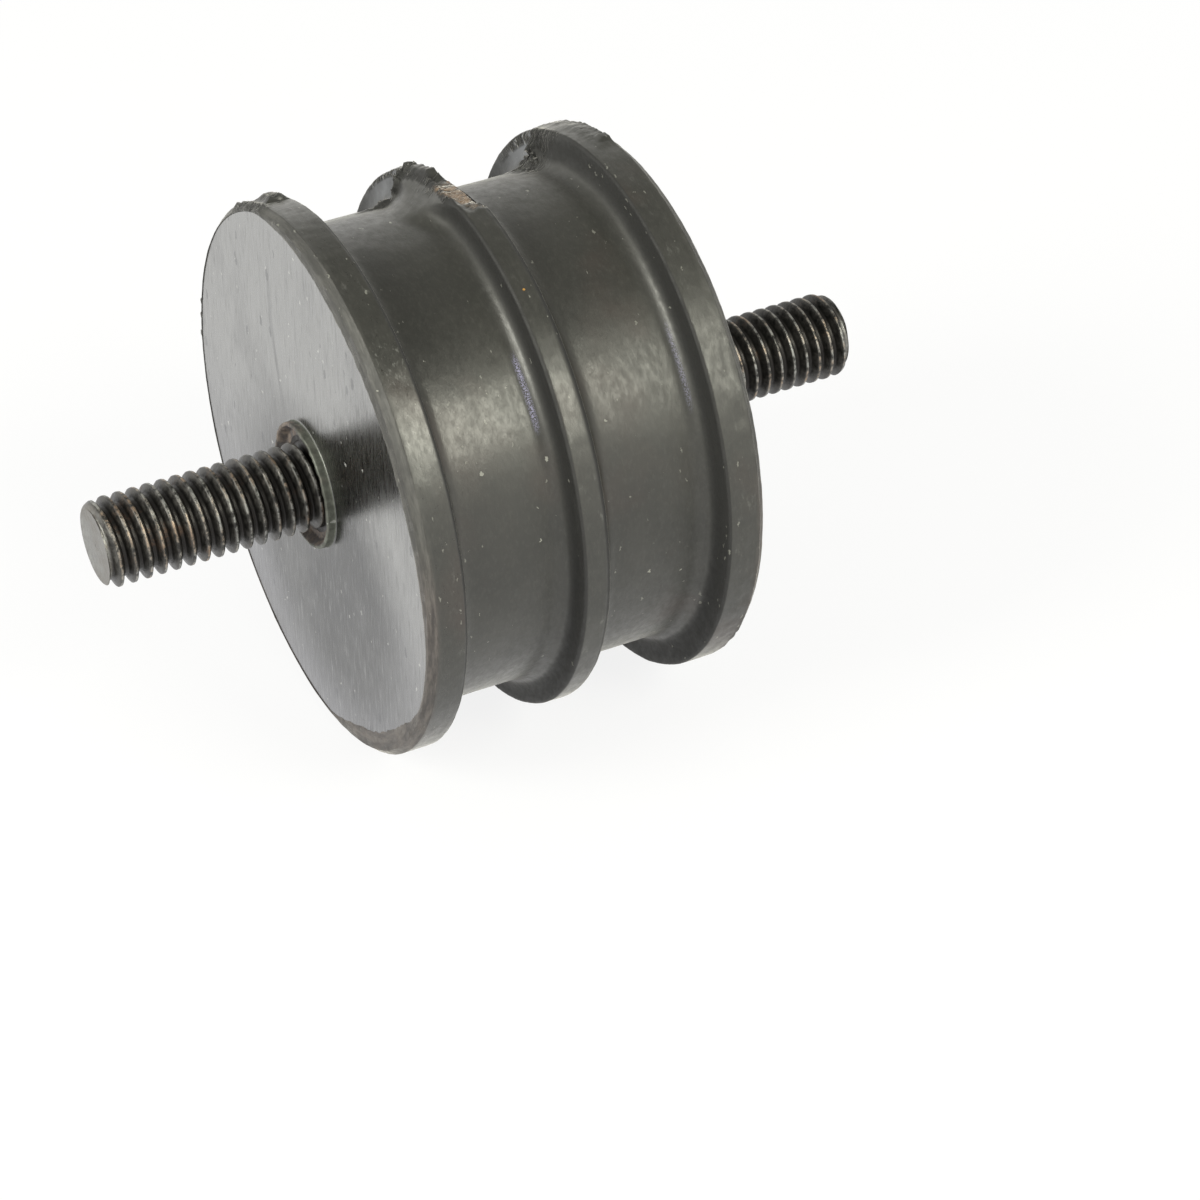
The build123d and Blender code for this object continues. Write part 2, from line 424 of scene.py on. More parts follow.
def rubber_material():
    """Satin black moulded rubber with dust, a scuffed rim band, torn places and a rust stain."""
    n = Surface("moulded_rubber")
    around = n.unrolled()
    land = n.attribute("land")
    band = n.attribute("band")
    torn = n.attribute("torn")
    rust = n.attribute("rust")
    painted_shade = n.attribute("painted_shade")
    fine = n.grain(FINE_SCALES, 5.0, 0.65, around)
    broad = n.noise(150.0, 4.0, 0.6)

    # the moulded film, with scuffs on the lands, painted shade on the walls and edges, and a
    # painted reflection that makes one wall beside the fins pale
    film = n.mix(n.span(broad, 0.3, 0.7), *FILM_COLORS)
    film = n.mix(n.span(n.noise(62.0, 3.0), 0.52, 0.68, 0.0, 0.8), film, BROWNISH_COLOR)
    film = n.mix(n.span(fine, 0.45, 0.75, 0.0, 0.4), film, GREYISH_COLOR)
    scuffs = n.span(n.grain(SCUFF_SCALES, 5.0, 0.7, around), 0.56, 0.72)
    scuffs = n.times(scuffs, n.span(broad, 0.42, 0.6))
    film = n.mix(n.times(scuffs, n.times(land, 0.7)), film, SCUFF_COLOR)
    nicks = n.span(n.grain(NICK_SCALES, 4.0, 0.6, around), 0.54, 0.68)
    film = n.mix(n.times(n.attribute("scuffed"), nicks), film, NICK_COLOR)
    # painted shade: the walls and edges are made near black
    film = n.mix(painted_shade, film, PAINTED_SHADE_COLOR)
    # painted reflection: one wall beside the fins is made pale
    wall_reflection = n.times(n.attribute("wall_reflection"), n.span(broad, 0.3, 0.6, 0.5, 1.0))
    film = n.mix(wall_reflection, film, WALL_REFLECTION_COLOR)

    # the end rims' bands, the torn places and the stain
    streak = n.grain(STREAK_SCALES, 5.0, 0.7, around)
    band_color = n.mix(n.span(streak, 0.4, 0.7), *BAND_COLORS)
    brown_color = n.mix(n.span(streak, 0.36, 0.66), *BROWN_COLORS)
    color = n.mix(band, film, n.mix(n.attribute("brown"), band_color, brown_color))
    torn_color = n.mix(n.span(n.noise(700.0, 4.0, 0.6), 0.4, 0.62), *TORN_COLORS)
    color = n.mix(torn, color, torn_color)
    rust_color = n.mix(n.span(n.noise(1500.0, 5.0, 0.7), 0.35, 0.65), *STAIN_COLORS)
    patchy = n.span(n.noise(520.0, 4.0, 0.7), 0.28, 0.48, 0.35, 1.0)
    color = n.mix(n.times(rust, patchy), color, rust_color)

    # dust, the sparkling lines and the yellow speck
    shaken = n.shaken(around, 2500.0, 0.0007)
    swarm = n.span(n.noise(120.0, 2.0), 0.5, 0.66, 0.06, 0.42)
    dashes = n.times(n.specks(0.22, swarm, DASH_SCALES, shaken), 0.34)
    dots = n.times(n.specks(0.10, 0.16, DOT_SCALES, shaken), 0.65)
    dust = n.larger(dashes, dots)
    color = n.mix(dust, color, DUST_COLOR)
    sparkle = n.span(n.noise(7500.0, 2.0), 0.44, 0.56)
    color = n.mix(n.times(n.attribute("glint"), sparkle), color, GLINT_COLOR)
    color = n.mix(n.near(*YELLOW_SPECK), color, YELLOW_COLOR)

    # gloss: duller to the rear, on the bands, where shade is painted and where torn
    grain = n.grain(GLOSS_SCALES, 5.0, 0.7, around)
    duller = n.span(n.split(n.place)[0], 0.0, 0.036, *DULLER)
    gloss = n.math("ADD", n.span(grain, 0.3, 0.7, *RUBBER_GLOSS), duller)
    gloss = n.math("SUBTRACT", gloss, n.times(land, 0.02))
    rough = n.larger(band, n.larger(torn, rust))
    gloss = n.math("ADD", gloss, n.times(rough, 0.25), clamp=True)
    gloss = n.math("ADD", gloss, n.times(painted_shade, 0.3), clamp=True)
    n.set(
        Base_Color=color,
        Roughness=gloss,
        Metallic=0.0,
        IOR=1.65,
        Sheen_Weight=0.5,
        Sheen_Roughness=0.22,
        Sheen_Tint=(1.0, 0.97, 0.90, 1),
        Specular_Tint=(1.0, 0.99, 0.955, 1),
    )

    normal = n.bump(fine, 0.5, 0.04)
    normal = n.bump(grain, 0.35, 0.05, normal)
    normal = n.bump(n.grain(PEEL_SCALES, 3.0, 0.5, around), 0.10, 0.08, normal)
    normal = n.bump(n.times(streak, band), 0.8, 0.12, normal)
    coarse = n.times(n.noise(1100.0, 5.0, 0.7), n.larger(torn, rust))
    normal = n.bump(coarse, 1.0, 0.35, normal)
    normal = n.bump(dust, 0.6, 0.04, normal)
    n.set(Normal=normal)
    return n.material


# The steel's colours, with a painted reflection in them: paler and warmer high up, darker and bluer
# low down.
STEEL_AND_REFLECTION_COLORS = (0.270, 0.268, 0.275, 1), (0.368, 0.366, 0.352, 1)  # from low to high
# painted dark reflection below the stud
DARK_REFLECTION_COLOR = (0.105, 0.104, 0.102, 1)
CLOUD_COLOR = (0.22, 0.218, 0.212, 1)
DARK_STREAK_COLOR = (0.14, 0.14, 0.14, 1)
PALE_STREAK_COLOR = (0.45, 0.45, 0.43, 1)
LONG_STREAK_COLOR = (0.15, 0.15, 0.15, 1)
SMUDGE_COLOR = (0.085, 0.085, 0.09, 1)
SCRATCH_COLOR = (0.11, 0.11, 0.11, 1)
GREY_RUST_COLORS = (0.060, 0.050, 0.050, 1), (0.17, 0.135, 0.11, 1)
ORANGE_RUST_COLOR = (0.30, 0.13, 0.045, 1)
LIP_COLORS = (0.085, 0.09, 0.075, 1), (0.17, 0.178, 0.15, 1)
PLATE_DUST_COLOR = (0.5, 0.5, 0.48, 1)
PLATE_GLOSS = (0.22, 0.34)  # roughness, from the smoothest streak to the roughest

# Scales of the plate's streaks, smudges and dust, per metre: along the axis, across and up.
PLATE_STREAK_SCALES = (600.0, 2300.0, 330.0)
LONG_STREAK_SCALES = (300.0, 1100.0, 55.0)
SMUDGE_SCALES = (1.0, 700.0, 300.0)
PLATE_DUST_SCALES = (1.0, 900.0, 700.0)

# The painted dark reflection below the stud: its centre and half size across and up, in metres.
DARK_REFLECTION_Y, DARK_REFLECTION_Z = -0.003, -0.009
DARK_REFLECTION_WIDTH, DARK_REFLECTION_HEIGHT = 0.017, 0.0145


def plate_material():
    """Satin steel with short streaks from top to bottom, smudges, rust round the stud, and painted
    reflections on its face.
    """
    n = Surface("satin_plate")
    _, y, z = n.split(n.place)
    streak = n.grain(PLATE_STREAK_SCALES, 5.0, 0.65, n.place)
    long_streak = n.grain(LONG_STREAK_SCALES, 4.0, 0.6, n.place)
    shaken = n.shaken(n.place, 1800.0, 0.0008)

    # the face: a painted reflection, paler at the top and dark below the stud, then clouds, streaks
    # and smudges
    color = n.mix(n.span(z, -0.024, 0.008), *STEEL_AND_REFLECTION_COLORS)
    across = n.math("DIVIDE", n.math("ADD", y, -DARK_REFLECTION_Y), DARK_REFLECTION_WIDTH)
    upward = n.math("DIVIDE", n.math("ADD", z, -DARK_REFLECTION_Z), DARK_REFLECTION_HEIGHT)
    dark_reflection = n.span(n.root_of_squares(across, upward), 0.7, 1.5, 1.0, 0.0)
    color = n.mix(dark_reflection, color, DARK_REFLECTION_COLOR)
    color = n.mix(n.span(n.noise(95.0, 4.0), 0.45, 0.7, 0.0, 0.4), color, CLOUD_COLOR)
    color = n.mix(n.span(streak, 0.52, 0.8, 0.0, 0.6), color, DARK_STREAK_COLOR)
    color = n.mix(n.span(streak, 0.22, 0.46, 0.45, 0.0), color, PALE_STREAK_COLOR)
    color = n.mix(n.span(long_streak, 0.5, 0.8, 0.0, 0.25), color, LONG_STREAK_COLOR)
    smudges = n.times(n.specks(0.24, 0.22, SMUDGE_SCALES, shaken), 0.4)
    color = n.mix(smudges, color, SMUDGE_COLOR)

    # one long scratch, bent a little, down the upper half
    bend = n.span(z, 0.005, 0.016, 0.0062, 0.0082)
    beside = n.math("ABSOLUTE", n.math("SUBTRACT", y, bend))
    scratch = n.times(n.span(beside, 0.0001, 0.0007, 1.0, 0.0), n.span(z, 0.003, 0.008))
    scratch = n.times(scratch, n.span(z, 0.012, 0.027, 1.0, 0.0))
    scratch = n.times(scratch, n.span(long_streak, 0.3, 0.55, 0.15, 0.5))
    color = n.mix(scratch, color, SCRATCH_COLOR)

    # the lip, the rust round the stud and dust
    rust = n.attribute("rust")
    rust_grain = n.noise(900.0, 5.0, 0.7)
    rust_mask = n.times(rust, n.span(rust_grain, 0.30, 0.50, 0.45, 1.0))
    grey_rust = n.mix(n.span(rust_grain, 0.4, 0.65), *GREY_RUST_COLORS)
    rust_color = n.mix(n.attribute("spot"), grey_rust, ORANGE_RUST_COLOR)
    lip = n.attribute("lip")
    color = n.mix(lip, color, n.mix(n.span(rust_grain, 0.35, 0.7), *LIP_COLORS))
    color = n.mix(rust_mask, color, rust_color)
    dust = n.specks(0.13, 0.12, PLATE_DUST_SCALES, shaken)
    color = n.mix(n.times(dust, 0.5), color, PLATE_DUST_COLOR)

    dull = n.larger(n.times(dust, 0.6), n.times(lip, 0.4))
    metallic = n.math("SUBTRACT", 1.0, n.larger(rust_mask, dull))
    gloss = n.span(streak, 0.3, 0.75, *PLATE_GLOSS)
    rougher = n.larger(n.times(rust_mask, 0.4), n.times(lip, 0.3))
    n.set(Base_Color=color, Metallic=metallic, Roughness=n.math("ADD", gloss, rougher, clamp=True))
    normal = n.bump(streak, 0.35, 0.025)
    normal = n.bump(n.noise(300.0, 4.0, 0.6), 0.12, 0.05, normal)
    normal = n.bump(n.times(rust_grain, rust), 0.8, 0.12, normal)
    n.set(Normal=normal)
    return n.material


FLANK_COLORS = (0.036, 0.035, 0.032, 1), (0.105, 0.100, 0.092, 1)
ROOT_COLOR = (0.024, 0.022, 0.020, 1)
CREST_COLORS = (0.32, 0.32, 0.30, 1), (0.34, 0.26, 0.19, 1)
THREAD_BROWN_COLOR = (0.13, 0.075, 0.045, 1)
TIP_COLORS = (0.15, 0.143, 0.132, 1), (0.29, 0.29, 0.28, 1)
TIP_PATCH_COLOR = (0.15, 0.135, 0.115, 1)


def thread_material():
    """Oiled dark steel: near black in the roots, worn and faintly brown on the crests."""
    n = Surface("oiled_thread")
    grime = n.noise(1300.0, 5.0, 0.7)
    patch = n.noise(260.0, 4.0, 0.6)
    crest = n.attribute("crest")
    worn = n.times(n.span(crest, 0.97, 1.0), n.span(grime, 0.40, 0.60, 0.0, 1.0))
    flank = n.mix(n.span(grime, 0.35, 0.65), *FLANK_COLORS)
    thread = n.mix(n.span(crest, 0.0, 0.5), ROOT_COLOR, flank)
    color = n.mix(worn, thread, n.mix(n.span(patch, 0.42, 0.62), *CREST_COLORS))
    brown = n.times(n.span(patch, 0.55, 0.68), n.span(grime, 0.42, 0.6))
    color = n.mix(n.times(brown, 0.45), color, THREAD_BROWN_COLOR)
    tip = n.mix(n.span(grime, 0.35, 0.65), *TIP_COLORS)
    tip = n.mix(n.span(patch, 0.42, 0.6, 0.6, 0.0), tip, TIP_PATCH_COLOR)
    color = n.mix(n.attribute("face"), color, tip)
    n.set(Base_Color=color, Metallic=0.7, Roughness=n.span(grime, 0.3, 0.7, 0.28, 0.52))
    n.set(Normal=n.bump(grime, 0.8, 0.07))
    return n.material


EDGE_COLORS = (0.13, 0.090, 0.062, 1), (0.34, 0.245, 0.175, 1)
EDGE_DARK_COLOR = (0.07, 0.055, 0.045, 1)


def rusty_material():
    """The centre plate's rusty edge."""
    n = Surface("rusty_edge")
    grain = n.noise(1100.0, 6.0, 0.7)
    color = n.mix(n.span(grain, 0.35, 0.65), *EDGE_COLORS)
    color = n.mix(n.span(n.noise(330.0, 4.0), 0.5, 0.65, 0.0, 0.7), color, EDGE_DARK_COLOR)
    n.set(Base_Color=color, Metallic=0.0, Roughness=0.75)
    n.set(Normal=n.bump(grain, 0.7, 0.12))
    return n.material


# ---- rubber body ----

FLASH_ANGLE = 27.0  # the moulding's parting line

# Flash and damage: first and last station along the mount, first and last angle round it.
LUMP_X, LUMP_ANGLES = (2.1, 3.1), (22.0, 26.5)
EDGE_CRUST_ANGLES = (20, 34)
NIB_X, NIB_ANGLES, NIB_HALF_WIDTH = (-0.1, 0.8), (77.0, 81.0, 86.0), 0.4
RIB_FLASH_X, RIB_FLASH_ANGLES = (17.0, 18.6), (15, 30)
REAR_FLASH_X, REAR_FLASH_ANGLES = (35.8, 37.2), (8, 36)
REAR_RAGGED_ANGLES = (-118, -50)
REAR_NIB_X, REAR_NIB_ANGLES = (36.4, 37.2), (6.5, 8.5)
TEAR_ANGLES = (1.0, 12.0)
BACK_TEAR_X, BACK_TEAR_ANGLES, BACK_TEAR_RADIUS = (19.9, 21.5), (11, 31), 27.6
SPOTS_X, SPOTS_ANGLES = (17.3, 18.6), (4, 15)
WORN_EDGE_ANGLES = (28, 42)
STAIN_ANGLES = (-0.5, 8.5)
BLACK_BAND_ANGLES = (-66, 120)
# Painted highlights: the sparkling lines along two feet, and how strong they are.
GLINT_X, GLINT_ANGLES, GLINT = (16.0, 16.1), (-53, -41), 0.85
REAR_GLINT_X, REAR_GLINT_ANGLES, REAR_GLINT = (32.85, 32.95), (-57, -44), 0.4
SCUFFS_X, SCUFFS_ANGLES = (1.2, 3.4), (-39, -33)

# Heights of the flash on the lands, in millimetres.
LUMP_HEIGHT = 0.62
EDGE_CRUST_HEIGHT = 0.34
NIB_HEIGHT = 0.30
REAR_FLASH_HEIGHT = 0.24
REAR_RAGGED_HEIGHT = 0.14
REAR_NIB_HEIGHT = 0.30

# Heights of the surface's unevenness, all over and on the lands.
COARSE_HEIGHT = 0.035
MIDDLING_HEIGHT = 0.010
LAND_MIDDLING_HEIGHT = 0.015
LAND_FINE_HEIGHT = 0.010

# How close together the rubber's columns are: first angle, last angle and step.
COLUMN_BANDS = [
    (-12.0, 12.0, 0.45),
    (12.0, 40.0, 0.25),
    (40.0, 74.0, 0.8),
    (74.0, 90.0, 0.4),
    (90.0, 348.0, 1.0),
]

# The swollen feet under the flash: first station, last station, steepness, share and first angle.
SWELLINGS = [
    (13.2, RIB_FRONT_X + RIB_FRONT_EDGE_RADIUS, 1.6, 1.0, -3.0),
    (30.4, REAR_FLANGE_X + REAR_RIM_EDGE_RADIUS, 2.0, 0.3, 10.0),
]

# Height of the ragged fins of flash along the mount, as stations and heights.
FIN = [(11.2, 0.0), (13.5, 0.25), (15.5, 0.45), (17.5, 0.55), (18.6, 0.5), (19.7, 0.2), (20.4, 0.0)]
REAR_FIN = [(29.4, 0.0), (31.0, 0.35), (32.2, 0.9), (33.8, 1.2), (34.3, 0.4), (35.2, 0.0)]
BETWEEN_FINS_X = 25.0

# How far the rims lap over the plates, and the lap's nose: height and distance back from its tip.
LAP_LEAST = 0.03
LAP_UPPER_RIGHT = 1.45  # as the camera sees it
LAP_BOTTOM = 1.45
LAP_ELSEWHERE = 0.5
LAP_NOSE = ((0.0, 0.0), (0.05, 0.05), (0.08, 0.25))
LAP_HEIGHT = 0.08


def rubber_line():
    """The rubber's outer half section in (x, r), from the front plate's edge to the rear one's."""
    outside = [
        (0.0, FACE_RADIUS, 0),
        (RIM_SETBACK, FLANGE_RADIUS, RIM_EDGE_RADIUS),
        (FLANGE_WIDTH, FLANGE_RADIUS, FRONT_RIM_EDGE_RADIUS),
        (FLANGE_WIDTH, WAIST_RADIUS, REAR_FOOT_RADIUS),
        (RIB_FRONT_X, WAIST_RADIUS, FRONT_FOOT_RADIUS),
        (RIB_FRONT_X, RIB_RADIUS, RIB_FRONT_EDGE_RADIUS),
        (RIB_REAR_X, RIB_RADIUS, RIB_REAR_EDGE_RADIUS),
        (RIB_REAR_X, WAIST_RADIUS, REAR_FOOT_RADIUS),
        (REAR_FLANGE_X, WAIST_RADIUS, FRONT_FOOT_RADIUS),
        (REAR_FLANGE_X, FLANGE_RADIUS, REAR_RIM_EDGE_RADIUS),
        (BODY_LENGTH - RIM_SETBACK, FLANGE_RADIUS, RIM_EDGE_RADIUS),
        (BODY_LENGTH, FACE_RADIUS, 0),
    ]
    return finely(rounded_line(outside), RUBBER_STEP)


def rubber_inside():
    """The pockets that hold the end plates and the stud heads, front and rear, in (x, r)."""
    head_end = PLATE_THICKNESS + HEAD_THICKNESS
    front = [
        (head_end, INNER_RING_RADIUS),
        (head_end, HEAD_RADIUS),
        (PLATE_THICKNESS, HEAD_RADIUS),
        (PLATE_THICKNESS, PLATE_RADIUS),
        (RIM_SETBACK, PLATE_RADIUS),
        (RIM_SETBACK, FACE_RADIUS),
    ]
    rear = [(BODY_LENGTH - x, r) for x, r in reversed(front)]
    return np.array(front), np.array(rear)


def swell(line, x, r, angles):
    """Pulls a foot out into a smooth swelling that grows up to the flash and ends there."""
    falling = 1 - 0.6 * ease(angles, 15, FLASH_ANGLE)
    falling = falling * (1 - ease(angles, FLASH_ANGLE, FLASH_ANGLE + 1.0))
    for start_x, end_x, power, share, first_angle in SWELLINGS:
        amount = (share * ease(angles, first_angle, first_angle + 15) * falling)[None, :]
        first = int(np.argmax(line[:, 0] > start_x - 2.0))
        last = int(np.argmax(line[:, 0] > end_x)) + 1
        station = np.linspace(line[first, 0], line[last, 0], last - first + 1)
        climb = np.clip((station - start_x) / (line[last, 0] - start_x), 0, 1) ** power
        radius = line[first, 1] + (line[last, 1] - line[first, 1]) * climb
        for grid, values in ((x, station), (r, radius)):
            part = grid[first : last + 1]
            grid[first : last + 1] = part + amount * (values[:, None] - part)


def rim_lap(angles, ragged):
    """How far the rims lap over the plates at each angle."""
    upper_right = LAP_UPPER_RIGHT * bump_between(angles, -60, -25, 45)
    bottom = LAP_BOTTOM * bump_between(angles, -155, -135, 24)
    lap = np.maximum(upper_right, bottom) + LAP_ELSEWHERE * bump_between(angles, -164, 10, 15)
    return LAP_LEAST + lap * (1 + 0.12 * np.clip(ragged, -0.6, 1))


def lap_rings(lap, degrees, at_rear):
    """The rim's thin lap over the plate, from its underside to its nose, as rings of points."""
    rings = []
    for height, back in LAP_NOSE:
        x = np.full(len(degrees), BODY_LENGTH + height if at_rear else -height)
        rings.append(round_the_axis(x, FACE_RADIUS - np.maximum(lap - back, 0.02), degrees))
    return np.array(rings[::-1] if at_rear else rings)


class Moulding:
    """The moulding's outer surface as grids: rows run along the mount and columns run round it."""

    def __init__(self):
        line = rubber_line()
        self.degrees = np.concatenate([np.arange(*band) for band in COLUMN_BANDS])
        self.x, self.r, angle = turned(line, self.degrees)
        self.signed = either_side(angle)
        swell(line, self.x, self.r, self.signed[0])
        self.base = round_the_axis(self.x, self.r, angle)
        self.out = outward_grid(self.base)
        self.up = round_the_axis(np.zeros_like(angle), np.ones_like(angle), angle)
        self.coarse = rough_field(self.base, *COARSE_LUMPS)
        self.middling = rough_field(self.base, *MIDDLING_LUMPS)
        self.fine = rough_field(self.base, *FINE_LUMPS)
        self.ragged = 0.55 + 0.55 * self.middling + 0.35 * self.fine
        self.rib_land = bump_between(self.x, RIB_FRONT_X, RIB_REAR_X, 0.3)
        self.rib_land = self.rib_land * ease(self.r, RIB_RADIUS - 0.7, RIB_RADIUS)
        self.rim_land = ease(self.r, FLANGE_RADIUS - 0.8, FLANGE_RADIUS - 0.1)
        self.land = ease(self.r, FLANGE_RADIUS - 0.9 - 0.4, FLANGE_RADIUS - 0.9)
        self.land = np.maximum(self.land, self.rib_land)
        self.place_fins()
        self.place_flash()
        self.place_tears()

    def place_fins(self):
        """The ragged fins of flash along the parting line, and the crust beside them."""
        self.at_rear_fin = ease(self.x, 29, 31)
        drift = 0.8 * self.coarse + 0.7 * self.middling
        fin_angle = FLASH_ANGLE + drift + 2.5 * ease(self.x, 24, 30)
        past = np.radians(self.signed - fin_angle) * WAIST_RADIUS
        wide = 0.8 + 2.6 * self.at_rear_fin
        height = np.interp(self.x, *zip(*FIN))
        below_rim = 1 - 0.85 * ease(self.r, 28.0, 29.5)
        height = height + np.interp(self.x, *zip(*REAR_FIN)) * below_rim
        crust = ease(past / wide, -1.6, -0.3) * (1 - ease(past, 0.1, 0.4))
        self.past = past
        self.fin = ease(past / wide, -1.0, -0.1) * (1 - ease(past, 0.05, 0.35))
        self.fin_height = height
        self.crust = crust * ease(height, 0.1, 0.4)

    def place_flash(self):
        """The lump and the crusty edge on the front rim."""
        lump = bump_between(self.signed + 2 * self.fine, *LUMP_ANGLES, 2.2)
        self.lump = lump * bump_between(self.x, *LUMP_X, 0.9) * self.rim_land
        crust = bump_between(self.signed, *EDGE_CRUST_ANGLES, 4)
        self.edge_crust = crust * (1 - ease(self.x, 0.5, 1.3))

    def place_tears(self):
        """The tear in the rib beside the flash, and the torn edge behind the rib."""
        self.wander = 1.6 * self.middling + 0.8 * self.fine
        self.tear = bump_between(self.signed + self.wander, *TEAR_ANGLES, 5.5)
        back_tear = bump_between(self.signed, *BACK_TEAR_ANGLES, 2.5)
        self.back_tear = back_tear * bump_between(self.x, *BACK_TEAR_X, 0.5)

    def lift(self):
        """How far the surface stands out along its normal: unevenness, fins and their crust."""
        middling, fine, ragged = self.middling, self.fine, self.ragged
        lift = COARSE_HEIGHT * self.coarse
        lift = lift + (MIDDLING_HEIGHT + LAND_MIDDLING_HEIGHT * self.land) * middling
        lift = lift + LAND_FINE_HEIGHT * self.land * fine
        front_jagged = np.clip(0.35 + ragged, 0.3, 1.5)
        rear_jagged = np.clip(0.7 + 0.35 * ragged, 0.6, 1.15)
        jagged = np.where(self.x < BETWEEN_FINS_X, front_jagged, rear_jagged)
        lift = lift + self.fin * self.fin_height * jagged
        crust_height = 0.15 + 0.03 * self.at_rear_fin
        return lift + crust_height * self.crust * (middling + 0.7 * fine)

    def rise(self):
        """How far flash stands up from the rims' and the rib's lands."""
        x, signed, ragged, rim_land = self.x, self.signed, self.ragged, self.rim_land
        rise = LUMP_HEIGHT * self.lump * np.clip(0.6 + 0.5 * ragged, 0.5, 1.2)
        rise = rise + EDGE_CRUST_HEIGHT * self.edge_crust * np.clip(ragged, 0.1, 1.4)
        half = NIB_HALF_WIDTH
        nibs = sum(bump_between(signed, nib - half, nib + half, half) for nib in NIB_ANGLES)
        rise += NIB_HEIGHT * nibs * bump_between(x, *NIB_X, 0.3)

        rib_flash = bump_between(signed, *RIB_FLASH_ANGLES, 6) * self.rib_land
        rise += rib_flash * (0.05 + 0.22 * np.clip(ragged, 0, 1.4)) * ease(x, *RIB_FLASH_X)

        rear_rim = bump_between(x, *REAR_FLASH_X, 0.8) * rim_land
        flash = REAR_FLASH_HEIGHT * bump_between(signed, *REAR_FLASH_ANGLES, 6)
        rise += flash * rear_rim * np.clip(0.4 + 0.7 * ragged, 0.0, 1.2)
        rags = REAR_RAGGED_HEIGHT * bump_between(signed, *REAR_RAGGED_ANGLES, 20)
        rise += rags * rear_rim * np.clip(ragged - 0.2, 0, 1)
        nib = REAR_NIB_HEIGHT * bump_between(signed, *REAR_NIB_ANGLES, 0.7)
        rise += nib * bump_between(x, *REAR_NIB_X, 0.3) * rim_land
        return rise

    def drop(self):
        """How far the rib is torn down: its rear half slopes down to the centre plate's edge."""
        x, r, middling, fine = self.x, self.r, self.middling, self.fine
        slope = ease(x + 0.2 * middling, MIDDLE_X - 1.6, MIDDLE_X - 0.4) * (x < MIDDLE_X + 4)
        floor = CENTRE_PLATE_RADIUS + 0.08 + 0.10 * np.clip(middling + 0.7 * fine, -0.5, 1)
        floor = floor - 0.9 * ease(x + 0.2 * fine, MIDDLE_X + 0.75, MIDDLE_X + 1.1)
        drop = self.tear * slope * np.clip(r - floor, 0, 3)
        behind = self.back_tear * np.clip(r - BACK_TEAR_RADIUS, 0, 2) * (0.75 + 0.35 * middling)
        return np.maximum(drop, behind)

    def surface(self):
        """The outer surface's points, moved by all of the above, with thin laps over the plates."""
        moved = self.base + self.out * self.lift()[..., None]
        moved = moved + self.up * (self.rise() - self.drop())[..., None]
        at_face = (self.x < 0.4) | (self.x > BODY_LENGTH - 0.4)
        edge = (1 - ease(self.r, FACE_RADIUS, FACE_RADIUS + 0.4)) * at_face
        toward = np.where(self.x < MIDDLE_X, -1.0, 1.0)
        moved[..., 0] += toward * edge * LAP_HEIGHT
        return moved

    def torn(self):
        """Where the rubber is torn, as dark crust."""
        x, r, signed, middling, fine = self.x, self.r, self.signed, self.middling, self.fine
        torn = self.crust * ease(0.4 + middling + fine, 0.0, 0.4)
        torn = np.maximum(torn, np.maximum(self.lump, self.edge_crust))
        spots = bump_between(signed, *SPOTS_ANGLES, 3) * bump_between(x, *SPOTS_X, 0.5)
        spots = spots * ease(middling + 0.6 * fine, 0.0, 0.3)
        torn = np.maximum(np.maximum(torn, 0.9 * spots * (r > 27.5)), 0.7 * self.back_tear)
        at_edge = bump_between(x, RIB_FRONT_X - 0.2, RIB_FRONT_X + 0.4, 0.3)
        rear_edge = bump_between(x, REAR_FLANGE_X - 0.2, REAR_FLANGE_X + 0.4, 0.3)
        at_edge = np.maximum(at_edge, rear_edge)
        worn = bump_between(signed, *WORN_EDGE_ANGLES, 14) * at_edge
        worn = worn * (r + 0.3 * middling > RIB_RADIUS - 0.6)
        torn = np.maximum(torn, worn * ease(middling + fine, -0.6, 0.0))
        return np.clip(torn, 0, 1)

    def stain(self):
        """Where rust stains the rib beside the tear."""
        x, r, signed, middling, fine = self.x, self.r, self.signed, self.middling, self.fine
        taper = 0.9 * ease(-signed, -5.0, 2.5) + 0.35 * middling + 0.2 * fine
        stain = bump_between(signed + 1.5 * self.wander, *STAIN_ANGLES, 3.0)
        stain = stain * bump_between(x, 17.9 + taper, 20.1, 0.5)
        return stain * (r > 28.0) * ease(0.7 + 0.9 * middling + 0.6 * fine, 0.1, 0.8)

    def masks(self):
        """Numbers from 0 to 1 at each point, which the rubber's material reads.

        Band and brown are the rims' bevels and how brown they are, and land the outermost faces.
        The walls that face along the mount and the lands' edges are marked for painted shade, and
        the walls beside the fins that catch light for a painted reflection.
        """
        x, r, signed = self.x, self.r, self.signed
        band = 1 - ease(x, RIM_SETBACK - 0.1, RIM_SETBACK + 0.25)
        rear_setback_x = BODY_LENGTH - RIM_SETBACK
        band = np.maximum(band, ease(x, rear_setback_x - 0.25, rear_setback_x + 0.1))
        brown = 1 - bump_between(signed, *BLACK_BAND_ANGLES, 22) * 0.92

        facing = np.abs(self.out[..., 0])  # 1 on a wall that faces along the mount
        # painted shade: the walls that face along the mount, and the lands' edges
        walls = ease(facing, 0.70, 0.90) * (1 - band)
        edges = ease(facing, 0.15, 0.45) * (1 - band) * (r > RIB_RADIUS - 0.9)
        # painted reflection: the walls beside the fins that are made pale
        wall_reflection = ease(self.past, 0.1, 0.6) * (1 - ease(signed, 34, 62)) * (signed > 20) * facing
        wall_reflection = wall_reflection * ease(r, WAIST_RADIUS + 0.5, WAIST_RADIUS + 1.2) * (x > 15)

